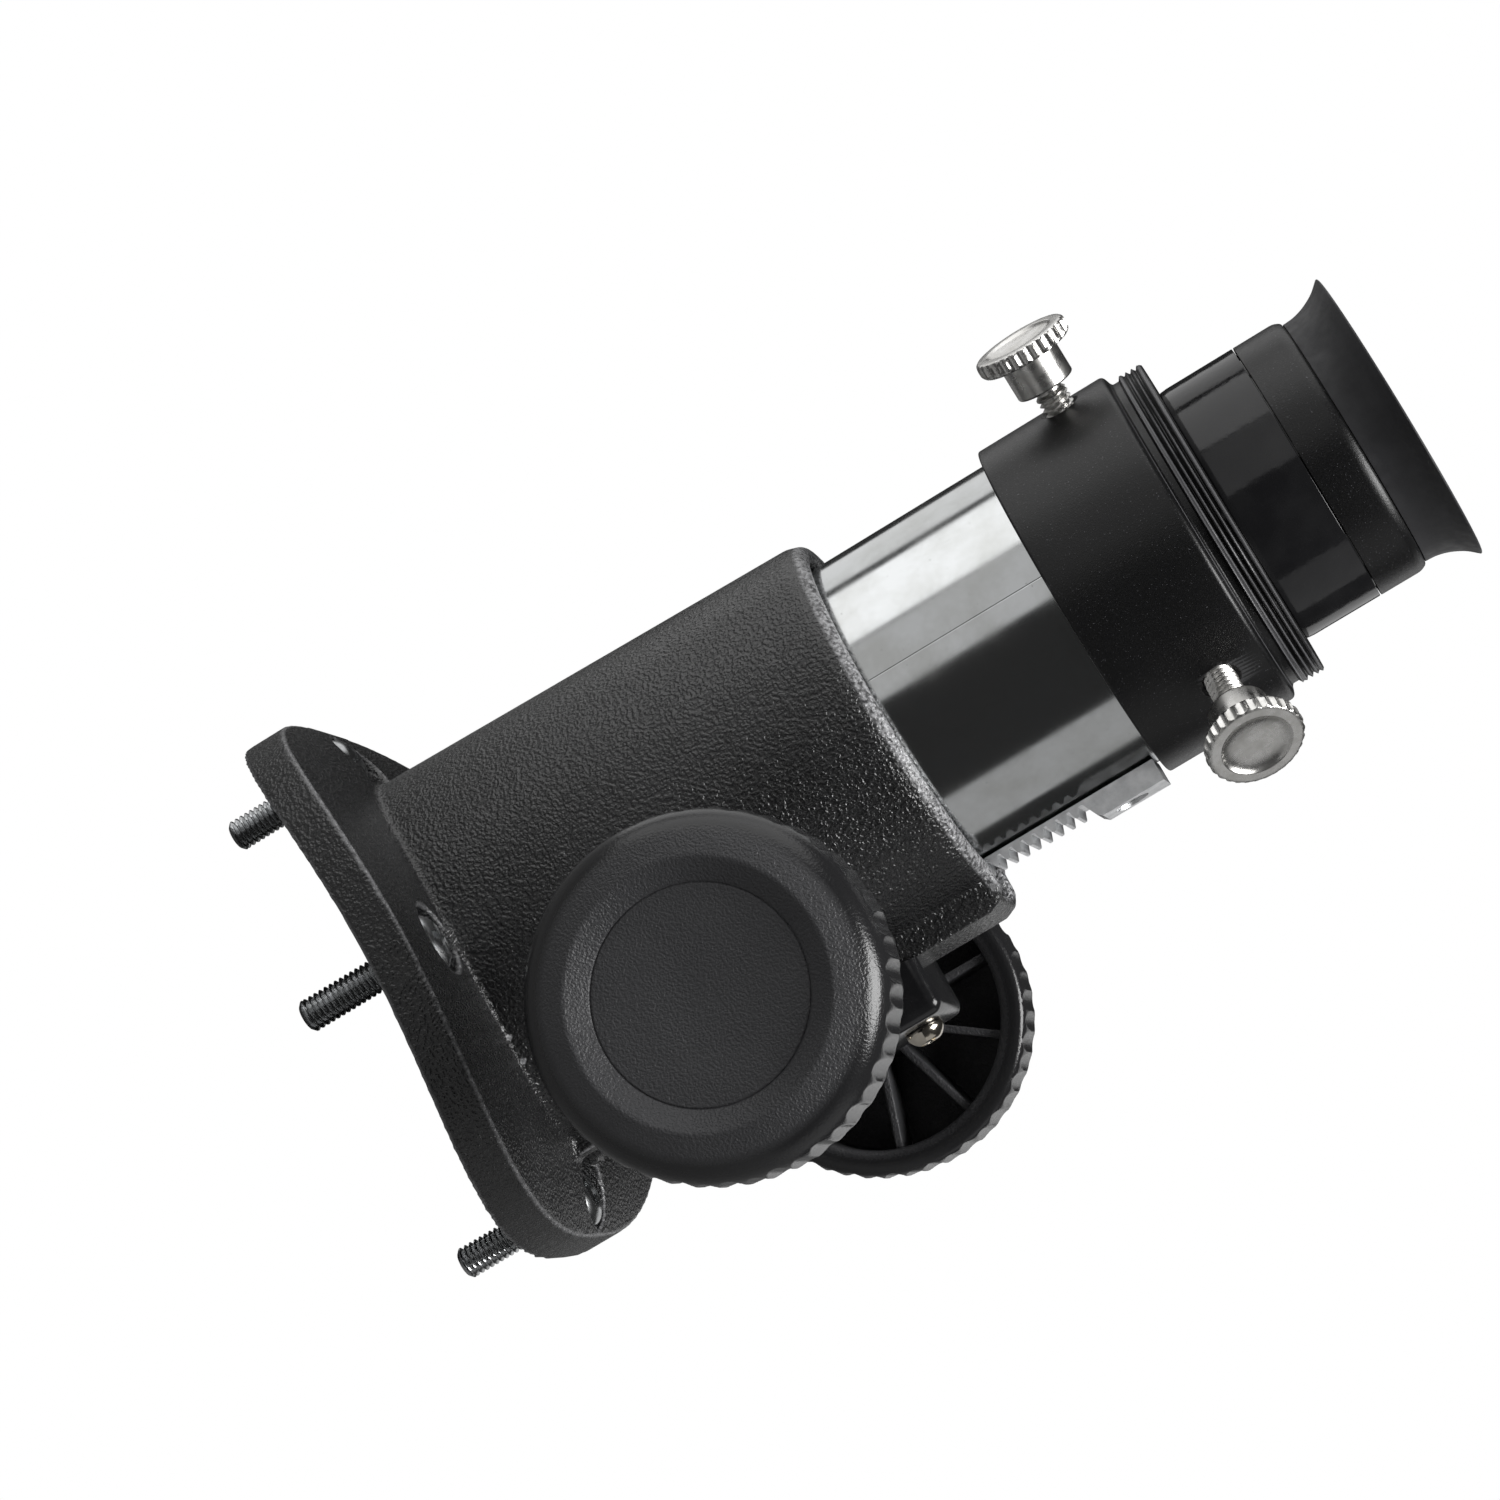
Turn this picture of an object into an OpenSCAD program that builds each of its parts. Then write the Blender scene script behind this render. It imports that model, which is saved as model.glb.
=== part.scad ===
// Rack-and-pinion focuser of a reflector telescope, with a 10 mm eyepiece in its holder.
// Millimetres. +Z runs outward along the drawtube, X runs along the telescope tube and the
// pinion shaft, and the rack is on the -Y side. The origin is on the drawtube axis, at the
// crown of the saddle that rests on the telescope tube.

/* [Housing] */
// Height of the housing's mouth above the saddle crown
mouth_z = 61; // [58:0.5:66]
// Outer radius of the housing at its mouth
mouth_r = 23.9; // [23.5:0.1:24.5]
// Outer radius of the housing at the flange
base_r = 25.2; // [24.8:0.1:25.4]
// Radius of the housing's bore
bore_r = 21.4; // [21.3:0.05:21.6]
// Half width of the rack box along X
box_half = 6.5; // [6.2:0.1:7]
// Distance from the drawtube axis to the rack box's outer face
box_y = 26.6; // [26.3:0.1:27]

/* [Flange] */
// Half length of the flange along the telescope tube
flange_x = 44; // [40:0.5:48]
// Half width of the flange across the telescope tube
flange_y = 35.4; // [35:0.1:38]
// Thickness of the flange
flange_t = 5.2; // [4.8:0.1:6]
// Outer radius of the telescope tube that the saddle fits
saddle_r = 82; // [72:1:120]
// Diameter of the circle through the mounting screws
screw_pcd = 60; // [60:0.5:61]

/* [Drawtube] */
// Outer radius of the drawtube
tube_r = 20.3; // [20.1:0.05:20.4]
// Wall thickness of the drawtube
tube_wall = 1; // [0.8:0.1:1.2]
// Length of drawtube that shows between the mouth and the eyepiece holder at rest
tube_out = 23.3; // [22.5:0.1:26]
// Length of the drawtube below the mouth at rest
tube_in = 57; // [54:0.5:60]
// Width of the rack along X
rack_w = 7; // [6:0.1:7.4]

/* [Pinion] */
// Gear module of the rack and pinion
gear_module = 0.5; // [0.5]
// Number of teeth on the pinion
pinion_teeth = 12; // [12]
// Height of the pinion shaft above the saddle crown
pinion_z = 32.6; // [31:0.1:34]
// Radius of the pinion shaft
shaft_r = 2.25; // [2:0.05:2.3]

/* [Knobs] */
// Largest radius of a focus knob
knob_r = 20.4; // [20:0.05:21]
// Distance from the drawtube axis to a knob's inner rim
knob_x = 42.3; // [41:0.1:46]
// Depth of a knob along the shaft
knob_d = 12.4; // [12:0.1:13]
// Number of ribs inside a knob
knob_ribs = 10; // [6:1:12]

/* [Eyepiece holder] */
// Outer radius of the eyepiece holder
holder_r = 22; // [21.8:0.05:22.4]
// Length of the eyepiece holder, thread included
holder_l = 21.7; // [21:0.1:24]
// Radius of the camera thread on the holder's end
thread_r = 21; // [21]
// Length of the camera thread
thread_l = 3; // [2.8:0.1:3]
// Angle of the first thumbscrew about the drawtube axis
thumb_angle = 115; // [110:1:125]

/* [Eyepiece] */
// Outer radius of the eyepiece barrel, for 1.25 inch sockets
barrel_r = 15.875; // [15.875]
// Length of the eyepiece barrel
barrel_l = 28; // [26:0.5:30]
// Outer radius of the eyepiece body
eye_r = 16.85; // [16.7:0.05:17]
// Outer radius of the rubber eyecup's lip
cup_r = 18.65; // [18.4:0.05:19]

/* [Hidden] */
$fn = 96;
pitch_r = gear_module * pinion_teeth / 2;
tooth_pitch = PI * gear_module;
pressure = 20;
// Distances from the drawtube axis, toward -Y
rack_pitch_y = 21.45;
rack_tip_y = rack_pitch_y + 0.38;
rack_root_y = 20.75;
rack_block_y = 23.1;
pinion_y = rack_pitch_y + pitch_r;
gear_half = 4;
backlash = 0.12;
// Rack channel in the housing
channel_half = 4.2;
channel_y = 22.6;
channel_deep_y = 25;
channel_deep_l = 11;
// Pinion cover
cover_t = 1.2;
cover_half = 8;
cover_y = 33.5;
cover_half_z = 15.9;
cover_screw_z = 11.5;
saddle_half_x = 6.4;
saddle_half_z = 5;
saddle_y = 31;
bearing_r = shaft_r + 0.05;
small_screw_r = 1.5;
small_head_r = 2.4;
small_head_h = 1.9;
small_neck = 0.5;
// Mounting screws
mount_screw_r = 2;
mount_head_r = 4;
mount_head_h = 2.4;
mount_screw_l = 16;
mount_neck = 4.4;
mount_seat = 2.9;
counterbore_r = 4.3;
// Guide shims
shim_t = 0.95;
shim_span = 34;
shim_angles = [40, 140, 220, 320];
// Rack
rack_low_teeth = 14;
rack_high_teeth = 25;
rack_tooth_count = rack_low_teeth + rack_high_teeth + 1;
rack_screw_r = 1;
rack_screw_head_r = 1.9;
// Levels along the drawtube axis at rest
holder_z = mouth_z + tube_out;
holder_top = holder_z + holder_l;
tube_top = holder_z + 7.7;
tube_low = mouth_z - tube_in;
thread_z = holder_top - thread_l;
groove_r = 20.5;
groove_l = 1.3;
thumb_z = holder_z + 11.1;
thumb_angles = [thumb_angle, thumb_angle + 120];
thumb_r = 1.95;
thumb_reach = barrel_r + 0.05;
// How far the second thumbscrew is backed out
thumb_backed_out = 2;
thumb_collar = 25;
thumb_collar_r = 3.6;
thumb_head = 29.3;
thumb_head_r = 5.9;
thumb_head_t = 2.1;
body_top = holder_top + 9.9;
ring_gap = 0.15;
ring_top = holder_top + 16.3;
cup_top = holder_top + 22.5;
neck_r = 14.6;
filter_r = 14.25;
filter_l = 5;
lens_r = 7;
rack_low = pinion_z - (rack_low_teeth + 0.5) * tooth_pitch;
rack_high = pinion_z + (rack_high_teeth + 1) * tooth_pitch;

// Extrudes a (Y, Z) outline along X, centred.
module along_x(length) {
    rotate([90, 0, 90]) linear_extrude(length, center = true) children();
}

// A cylinder along X, centred on x = 0.
module rod_x(r, length, y, z) {
    translate([0, y, z]) rotate([0, 90, 0]) cylinder(r = r, h = length, center = true);
}

// A hollow turned ring between two levels.
module ring(outer, inner, low, high) {
    translate([0, 0, low]) difference() {
        cylinder(r = outer, h = high - low);
        translate([0, 0, -1]) cylinder(r = inner, h = high - low + 2);
    }
}

// A pan-head screw pointing down -Z, with its head seated at z = 0. Its thread starts below a
// plain neck, which is a little thinner.
module pan_screw(r, length, head_r, head_h, neck) {
    neck_r = r - 0.05;
    rotate_extrude() polygon([[0, -length], [r - 0.4, -length], [r, -length + 0.4], [r, -neck],
        [neck_r, -neck], [neck_r, 0], [head_r, 0], [head_r, head_h * 0.45],
        [head_r * 0.8, head_h * 0.85], [head_r * 0.4, head_h], [0, head_h]]);
}

// Angle, in degrees, between a point at radius r on an involute and its start.
function involute_angle(base, r) =
    let (a = acos(min(1, base / r))) tan(a) * 180 / PI - a;

// Half the angle that a pinion tooth spans at radius r.
function tooth_half(r) =
    let (base = pitch_r * cos(pressure))
    let (at_pitch = (tooth_pitch / 2 - backlash) / (2 * pitch_r) * 180 / PI)
    at_pitch + involute_angle(base, pitch_r) - involute_angle(base, max(r, base));

function polar(r, a) = [r * cos(a), r * sin(a)];

// One side of a pinion tooth, from root to tip. The flank below the base circle leans in, so
// that the corners of the rack's teeth pass it.
function tooth_side(centre, side) =
    let (base = pitch_r * cos(pressure), tip = pitch_r + gear_module, root = shaft_r + 0.12)
    concat([polar(root, centre + side * (tooth_half(base) - 3))],
        [for (i = [0:4]) let (r = base + 0.05 + (tip - base - 0.05) * i / 4)
            polar(r, centre + side * tooth_half(r))]);

function reversed(list) = [for (i = [len(list) - 1:-1:0]) list[i]];

module focuser_housing() {
    color("#1c1c1e") difference() {
        union() {
            flange_plate();
            rotate_extrude() polygon([[0, -12], [base_r, -12], [base_r, flange_t],
                [mouth_r + 0.1, mouth_z - 2.2], [mouth_r - 0.4, mouth_z - 0.6],
                [mouth_r - 1, mouth_z], [0, mouth_z]]);
            along_x(2 * box_half) polygon([[0, -8], [-box_y, -8], [-box_y, mouth_z - 2.4],
                [-box_y + 0.7, mouth_z - 0.8], [-box_y + 2.2, mouth_z], [0, mouth_z]]);
        }
        rod_x(saddle_r, 200, 0, -saddle_r);
        translate([0, 0, -20]) cylinder(r = bore_r, h = 100);
        rack_channel();
        pinion_pocket();
        for (a = [0:90:270]) mounting_hole(a);
        for (side = [-1, 1]) translate([0, -box_y - 1, pinion_z + side * cover_screw_z])
            rotate([-90, 0, 0]) cylinder(r = small_screw_r + 0.02, h = 4.6);
    }
}

// Plan outline of the flange, a rounded oval.
function flange_outline(power) = [for (a = [0:5:355])
    [flange_x * sign(cos(a)) * pow(abs(cos(a)), 2 / power),
        flange_y * sign(sin(a)) * pow(abs(sin(a)), 2 / power)]];

module flange_plate() {
    intersection() {
        translate([0, 0, -20]) linear_extrude(40) polygon(flange_outline(2.5));
        rod_x(saddle_r + flange_t, 200, 0, -saddle_r);
    }
}

module rack_channel() {
    translate([-channel_half, -channel_y, -20]) cube([2 * channel_half, channel_y, 100]);
    translate([-channel_half, -channel_deep_y, mouth_z - channel_deep_l])
        cube([2 * channel_half, channel_deep_y, channel_deep_l + 1]);
}

// Room for the pinion, with half-round bearings for its shaft.
module pinion_pocket() {
    pocket_z = 2 * (saddle_half_z + 0.2);
    translate([-9, -pinion_y - 8, pinion_z - pocket_z / 2]) cube([18, 8, pocket_z]);
    rod_x(bearing_r, 30, -pinion_y, pinion_z);
    rod_x(pitch_r + gear_module + 0.4, 2 * channel_half, -pinion_y, pinion_z);
}

// Height of the saddle's surface at a distance y from its crown line.
function saddle_height(y) = sqrt(saddle_r * saddle_r - y * y) - saddle_r;

// Seat level of the mounting screw at angle a.
function seat_height(a) = saddle_height(sin(a) * screw_pcd / 2) + mount_seat;

module mounting_hole(a) {
    rotate([0, 0, a]) translate([screw_pcd / 2, 0, 0]) {
        translate([0, 0, -30]) cylinder(r = mount_screw_r + 0.02, h = 60);
        translate([0, 0, seat_height(a)]) cylinder(r = counterbore_r, h = 12);
    }
}

// Low-friction strips glued in the bore, which the drawtube slides on.
module guide_shims() {
    color("#e9e7df") for (a = shim_angles) rotate([0, 0, a - shim_span / 2])
        rotate_extrude(angle = shim_span)
        translate([bore_r - shim_t, mouth_z - 46]) square([shim_t, 42]);
}

module mounting_screws() {
    color("#c9ccd0") for (a = [0:90:270]) rotate([0, 0, a])
        translate([screw_pcd / 2, 0, seat_height(a)])
        pan_screw(mount_screw_r, mount_screw_l, mount_head_r, mount_head_h, mount_neck);
}

// Folded steel cover under the pinion.
module pinion_cover() {
    inner_half = cover_half - cover_t;
    inner_z = cover_half_z - cover_t;
    color("#161618") difference() {
        along_x(2 * cover_half) cover_outline(0);
        along_x(2 * inner_half) cover_outline(cover_t);
        translate([-inner_half, -box_y - 2, pinion_z - inner_z])
            cube([2 * inner_half, 3, 2 * inner_z]);
        rod_x(shaft_r + 0.4, 40, -pinion_y, pinion_z);
        for (z = [-cover_screw_z, 0, cover_screw_z]) translate([0, -cover_y - 1, pinion_z + z])
            rotate([-90, 0, 0]) cylinder(r = small_screw_r + 0.05, h = 4);
    }
}

// Side outline of the cover, shrunk by inset on its three closed sides.
module cover_outline(inset) {
    low = -cover_y + inset;
    half = cover_half_z - inset;
    bend = 1.4 - inset * 0.6;
    polygon([[-box_y, pinion_z - half], [low + bend, pinion_z - half],
        [low + bend * 0.3, pinion_z - half + bend * 0.3], [low, pinion_z - half + bend],
        [low, pinion_z + half - bend], [low + bend * 0.3, pinion_z + half - bend * 0.3],
        [low + bend, pinion_z + half], [-box_y, pinion_z + half]]);
}

module cover_screws() {
    color("#d8d2c4") for (side = [-1, 1])
        translate([0, -cover_y, pinion_z + side * cover_screw_z])
        rotate([90, 0, 0]) pan_screw(small_screw_r, 10, small_head_r, small_head_h, small_neck);
}

// Nylon block that the tension screw presses against the pinion shaft.
module pinion_saddle() {
    color("#e6e3d8") difference() {
        translate([-saddle_half_x, -saddle_y, pinion_z - saddle_half_z])
            cube([2 * saddle_half_x, saddle_y - pinion_y - 0.1, 2 * saddle_half_z]);
        rod_x(bearing_r, 30, -pinion_y, pinion_z);
        rod_x(pitch_r + gear_module + 0.4, 2 * gear_half + 0.6, -pinion_y, pinion_z);
    }
}

module tension_screw() {
    color("#d8d2c4") translate([0, -cover_y, pinion_z]) rotate([90, 0, 0])
        pan_screw(small_screw_r, cover_y - saddle_y - 0.02, small_head_r, small_head_h, small_neck);
}

// Steel shaft with the pinion's teeth cut into its thick middle.
module pinion_shaft() {
    color("#b9bcc0") translate([0, -pinion_y, pinion_z]) {
        rotate([0, 90, 0]) cylinder(r = shaft_r, h = 2 * (knob_x + 5), center = true);
        rotate([90, 0, 90]) linear_extrude(2 * gear_half, center = true)
            polygon([for (i = [0:pinion_teeth - 1])
                let (centre = i * 360 / pinion_teeth)
                each concat(tooth_side(centre, -1), reversed(tooth_side(centre, 1)))]);
    }
}

// A moulded knob with a hollow back, turned outward along +X by side 1 and -X by side -1.
module focus_knob(side) {
    wall_r = knob_r - 3.7;
    web_z = knob_d - 4;
    disc_r = 12;
    disc_z = knob_d - 1.45;
    hub_r = 5;
    hub_low = -7;
    bore_end = 5;
    rib_z = 1.6;
    color("#232325") translate([side * knob_x, -pinion_y, pinion_z]) rotate([0, side * 90, 0]) {
        rotate_extrude() polygon([[shaft_r, hub_low], [hub_r, hub_low],
            [hub_r, web_z], [wall_r, web_z], [wall_r, 0.9], [wall_r + 0.6, 0.2],
            [knob_r - 2.2, 0], [knob_r - 1.2, 0.15], [knob_r - 0.5, 0.7], [knob_r - 0.2, 1.6],
            [knob_r - 0.05, 3], [knob_r, 5], [knob_r - 0.1, knob_d - 4.8],
            [knob_r - 0.6, knob_d - 2.9], [knob_r - 1.5, knob_d - 1.7],
            [knob_r - 2.8, knob_d - 0.9], [knob_r - 5.8, knob_d], [disc_r, disc_z],
            [0, disc_z], [0, bore_end], [shaft_r, bore_end]]);
        for (i = [0:knob_ribs - 1]) rotate([0, 0, i * 360 / knob_ribs])
            translate([hub_r - 0.3, -0.6, rib_z])
                cube([wall_r - hub_r + 0.6, 1.2, web_z - rib_z + 0.3]);
    }
}

module knob_left() {
    focus_knob(-1);
}

module knob_right() {
    focus_knob(1);
}

module drawtube() {
    color("#d5d8db") difference() {
        ring(tube_r, tube_r - tube_wall, tube_low, tube_top);
        for (z = rack_screw_levels()) translate([0, 0, z]) rotate([90, 0, 0])
            cylinder(r = rack_screw_r + 0.02, h = 40);
    }
}

function rack_screw_levels() = [rack_low - 2, (rack_high + holder_z) / 2];

// Steel rack with plain ends, its back hollowed to sit on the drawtube.
module rack() {
    half_pitch = tooth_pitch / 4 - 0.02;
    tip_half = half_pitch - tan(pressure) * (rack_tip_y - rack_pitch_y);
    root_half = half_pitch + tan(pressure) * (rack_pitch_y - rack_root_y);
    low_end = rack_low - 4;
    color("#b4b8bb") difference() {
        along_x(rack_w) polygon(concat(
            [[-19, low_end], [-rack_tip_y, low_end], [-rack_tip_y, rack_low - 0.4],
                [-rack_root_y, rack_low + 0.1]],
            [for (i = [0:rack_tooth_count - 1]) let (z = rack_low + (i + 1) * tooth_pitch)
                each [[-rack_root_y, z - root_half], [-rack_tip_y, z - tip_half],
                    [-rack_tip_y, z + tip_half], [-rack_root_y, z + root_half]]],
            [[-rack_root_y, rack_high + 0.6], [-rack_block_y + 0.6, rack_high + 1.3],
                [-rack_block_y, rack_high + 1.9], [-rack_block_y, holder_z - 0.7],
                [-19, holder_z - 0.7]]));
        translate([0, 0, -20]) cylinder(r = tube_r, h = 120);
        for (z = rack_screw_levels()) translate([0, 0, z]) rotate([90, 0, 0])
            cylinder(r = rack_screw_r + 0.02, h = 40);
        translate([0, -rack_tip_y + 0.9, rack_screw_levels()[0]]) rotate([90, 0, 0])
            cylinder(r = rack_screw_head_r, h = 5);
        translate([0, -rack_block_y + 0.9, rack_screw_levels()[1]]) rotate([90, 0, 0])
            cylinder(r = rack_screw_head_r, h = 5);
    }
}

module rack_screws() {
    outer = [rack_tip_y, rack_block_y];
    color("#9fa3a6") for (i = [0, 1])
        translate([0, -outer[i] + 0.9, rack_screw_levels()[i]]) rotate([90, 0, 0]) {
            cylinder(r = rack_screw_head_r - 0.1, h = 0.7);
            translate([0, 0, -outer[i] + tube_r - tube_wall + 0.4])
                cylinder(r = rack_screw_r, h = outer[i] - tube_r + tube_wall - 0.3);
        }
}

module eyepiece_holder() {
    socket_r = barrel_r + 0.07;
    color("#1a1a1c") difference() {
        rotate_extrude() polygon([[tube_r, holder_z], [holder_r - 0.3, holder_z],
            [holder_r, holder_z + 0.3], [holder_r, thread_z - groove_l - 0.5],
            [holder_r - 0.5, thread_z - groove_l], [groove_r, thread_z - groove_l],
            [groove_r, thread_z], [thread_r, thread_z], [thread_r, holder_top],
            [socket_r, holder_top], [socket_r, tube_top], [tube_r, tube_top]]);
        for (a = thumb_angles) rotate([0, 0, a]) translate([0, 0, thumb_z])
            rotate([0, 90, 0]) cylinder(r = thumb_r + 0.05, h = 40);
    }
}

// Thumbscrew pointing at the eyepiece barrel, with a dished head.
module thumbscrew(a, backed_out) {
    color("#cfd1d3") rotate([0, 0, a]) translate([backed_out, 0, thumb_z]) rotate([0, 90, 0])
        difference() {
            rotate_extrude() polygon([[0, thumb_reach], [thumb_r - 0.4, thumb_reach],
                [thumb_r, thumb_reach + 0.4], [thumb_r, thumb_collar],
                [thumb_collar_r, thumb_collar], [thumb_collar_r, thumb_head],
                [thumb_head_r - 0.4, thumb_head], [thumb_head_r, thumb_head + 0.4],
                [thumb_head_r, thumb_head + thumb_head_t - 0.5],
                [thumb_head_r - 0.5, thumb_head + thumb_head_t], [0, thumb_head + thumb_head_t]]);
            translate([0, 0, thumb_head + thumb_head_t + 9.2]) sphere(r = 10.1);
        }
}

module thumbscrew_upper() {
    thumbscrew(thumb_angles[0], 0);
}

module thumbscrew_lower() {
    thumbscrew(thumb_angles[1], thumb_backed_out);
}

module eyepiece_barrel() {
    low = holder_top - barrel_l;
    color("#c7cacd") rotate_extrude() polygon([[filter_r, low], [barrel_r - 0.3, low],
        [barrel_r, low + 0.3], [barrel_r, holder_top], [neck_r, holder_top],
        [neck_r, holder_top + 3.7], [neck_r - 1.2, holder_top + 3.7],
        [neck_r - 1.2, low + filter_l], [filter_r, low + filter_l]]);
}

module field_stop() {
    color("#111111") ring(neck_r - 1.2, 4.2, holder_top - 2, holder_top - 1);
}

// A lens with two bulging faces between two levels.
module lens(low, high, curve_r) {
    color("#a9c4bd") intersection() {
        translate([0, 0, low]) cylinder(r = lens_r, h = high - low);
        translate([0, 0, high - curve_r]) sphere(r = curve_r);
        translate([0, 0, low + curve_r]) sphere(r = curve_r);
    }
}

module field_lens() {
    lens(holder_top + 4.1, holder_top + 7.6, 24);
}

module lens_spacer() {
    color("#151515") ring(lens_r, 5.6, holder_top + 7.7, holder_top + 9.2);
}

module eye_lens() {
    lens(holder_top + 9.3, holder_top + 12.7, 18);
}

module lens_retainer() {
    color("#151515") ring(lens_r, 4.9, holder_top + 12.8, holder_top + 14.6);
}

module eyepiece_body() {
    color("#101012") rotate_extrude() polygon([[neck_r, holder_top],
        [eye_r - 0.25, holder_top], [eye_r, holder_top + 0.25], [eye_r, body_top],
        [eye_r - 1.2, body_top], [eye_r - 1.2, ring_top - 1.6], [lens_r, ring_top - 1.6],
        [lens_r, holder_top + 3.9], [neck_r, holder_top + 3.9]]);
}

module eyepiece_top_ring() {
    color("#1d1d1f") rotate_extrude() polygon([[eye_r - 1.2, body_top + ring_gap],
        [eye_r, body_top + ring_gap], [eye_r, ring_top - 2], [eye_r - 0.1, ring_top - 0.8],
        [eye_r - 0.5, ring_top], [eye_r - 1.2, ring_top]]);
}

// Rubber eyecup, a short flared bowl with a thin lip.
module eyecup() {
    base = ring_top - 1.5;
    color("#26262a") rotate_extrude() polygon([[6, base], [eye_r - 1.25, base],
        [eye_r - 1.25, ring_top + 0.1], [eye_r - 0.7, ring_top + 0.1], [eye_r - 0.6, ring_top + 1.6],
        [eye_r - 0.1, ring_top + 3.2], [eye_r + 0.7, ring_top + 4.8], [cup_r, cup_top - 0.2],
        [cup_r - 0.2, cup_top], [cup_r - 0.8, cup_top], [cup_r - 2.2, ring_top + 4],
        [cup_r - 3.3, ring_top + 1.8], [cup_r - 6, ring_top + 0.3], [8, ring_top - 0.5],
        [6, ring_top - 0.7]]);
}

focuser_housing();
guide_shims();
mounting_screws();
pinion_cover();
cover_screws();
pinion_saddle();
tension_screw();
pinion_shaft();
knob_left();
knob_right();
drawtube();
rack();
rack_screws();
eyepiece_holder();
thumbscrew_upper();
thumbscrew_lower();
eyepiece_barrel();
field_stop();
field_lens();
lens_spacer();
eye_lens();
lens_retainer();
eyepiece_body();
eyepiece_top_ring();
eyecup();
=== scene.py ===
# Looks of a rack-and-pinion telescope focuser with its eyepiece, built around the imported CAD.
# Pieces are made in millimetres in their own frame, with Z as the axis of whatever is turned.
import math

import bmesh
import bpy
from mathutils import Matrix, Vector


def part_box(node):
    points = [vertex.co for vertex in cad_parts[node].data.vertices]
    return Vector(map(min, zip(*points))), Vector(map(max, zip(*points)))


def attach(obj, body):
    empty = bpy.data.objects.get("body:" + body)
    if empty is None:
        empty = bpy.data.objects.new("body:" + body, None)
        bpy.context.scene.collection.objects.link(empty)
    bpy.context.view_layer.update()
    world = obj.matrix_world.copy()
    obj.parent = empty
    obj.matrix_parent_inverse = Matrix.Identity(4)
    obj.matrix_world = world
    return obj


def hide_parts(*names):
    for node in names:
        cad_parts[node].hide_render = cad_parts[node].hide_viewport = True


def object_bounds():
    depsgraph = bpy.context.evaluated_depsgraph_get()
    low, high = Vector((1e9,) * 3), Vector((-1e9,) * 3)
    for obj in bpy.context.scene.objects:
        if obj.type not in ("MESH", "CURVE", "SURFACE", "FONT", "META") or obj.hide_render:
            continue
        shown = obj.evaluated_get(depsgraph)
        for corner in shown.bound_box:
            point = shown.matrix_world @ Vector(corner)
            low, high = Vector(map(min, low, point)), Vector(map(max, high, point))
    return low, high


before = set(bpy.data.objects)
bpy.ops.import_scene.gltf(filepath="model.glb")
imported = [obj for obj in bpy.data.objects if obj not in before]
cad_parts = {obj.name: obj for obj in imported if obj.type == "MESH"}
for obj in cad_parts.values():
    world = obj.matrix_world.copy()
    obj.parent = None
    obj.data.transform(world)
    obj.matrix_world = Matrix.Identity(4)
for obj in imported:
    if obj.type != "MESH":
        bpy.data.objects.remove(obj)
cad_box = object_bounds()

MM = 0.001
TURN = 2 * math.pi


def span(node):
    """Lowest and highest corner of a CAD node at rest, in millimetres."""
    low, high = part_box(node)
    return low / MM, high / MM


# ---------------------------------------------------------------- places taken from the CAD

PINION = (span("pinion_shaft")[0] + span("pinion_shaft")[1]) / 2
TUBE_LOW, TUBE_HIGH = span("drawtube")
RACK_LOW, RACK_HIGH = span("rack")
HOLDER_LOW, HOLDER_HIGH = span("eyepiece_holder")
BARREL_LOW, BARREL_HIGH = span("eyepiece_barrel")
BODY_HIGH = span("eyepiece_body")[1]
RING_LOW, RING_HIGH = span("eyepiece_top_ring")
CUP_LOW, CUP_HIGH = span("eyecup")
COVER_LOW, COVER_HIGH = span("pinion_cover")
HOUSING_HIGH = span("focuser_housing")[1]
TUBE_R = TUBE_HIGH.x
HOLDER_R = HOLDER_HIGH.y
CAMERA_THREAD_R = 21.0


# ---------------------------------------------------------------- mesh helpers

def rounded(outline, closed=False, segments=5):
    """Points of an outline of (radius, height, corner): each corner is cut back and curved."""
    points = []
    for i, (r, z, corner) in enumerate(outline):
        here = Vector((r, z))
        if not corner or not (closed or 0 < i < len(outline) - 1):
            points.append(here)
            continue
        back = Vector(outline[i - 1][:2]) - here
        on = Vector(outline[(i + 1) % len(outline)][:2]) - here
        start = here + back.normalized() * min(corner, back.length / 2)
        end = here + on.normalized() * min(corner, on.length / 2)
        for k in range(segments + 1):
            t = k / segments
            points.append(start.lerp(here, t).lerp(here.lerp(end, t), t))
    return points


def divided(points, step, where):
    """Adds points along the stretches whose two ends both pass the test `where`."""
    result = []
    for i, here in enumerate(points):
        after = points[(i + 1) % len(points)]
        result.append(here)
        count = int((after - here).length / step)
        if count > 1 and where(here) and where(after):
            result += [here.lerp(after, k / count) for k in range(1, count)]
    return result


def curved(points, count=6):
    """A smooth line through points of (radius, height)."""
    knots = [Vector(p) for p in points]
    knots = [knots[0], *knots, knots[-1]]
    result = []
    for a, b, c, d in zip(knots, knots[1:], knots[2:], knots[3:]):
        for k in range(count):
            t = k / count
            result.append(0.5 * (2 * b + (c - a) * t + (2 * a - 5 * b + 4 * c - d) * t * t
                                 + (3 * b - a - 3 * c + d) * t ** 3))
    return [*result, knots[-1]]


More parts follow.
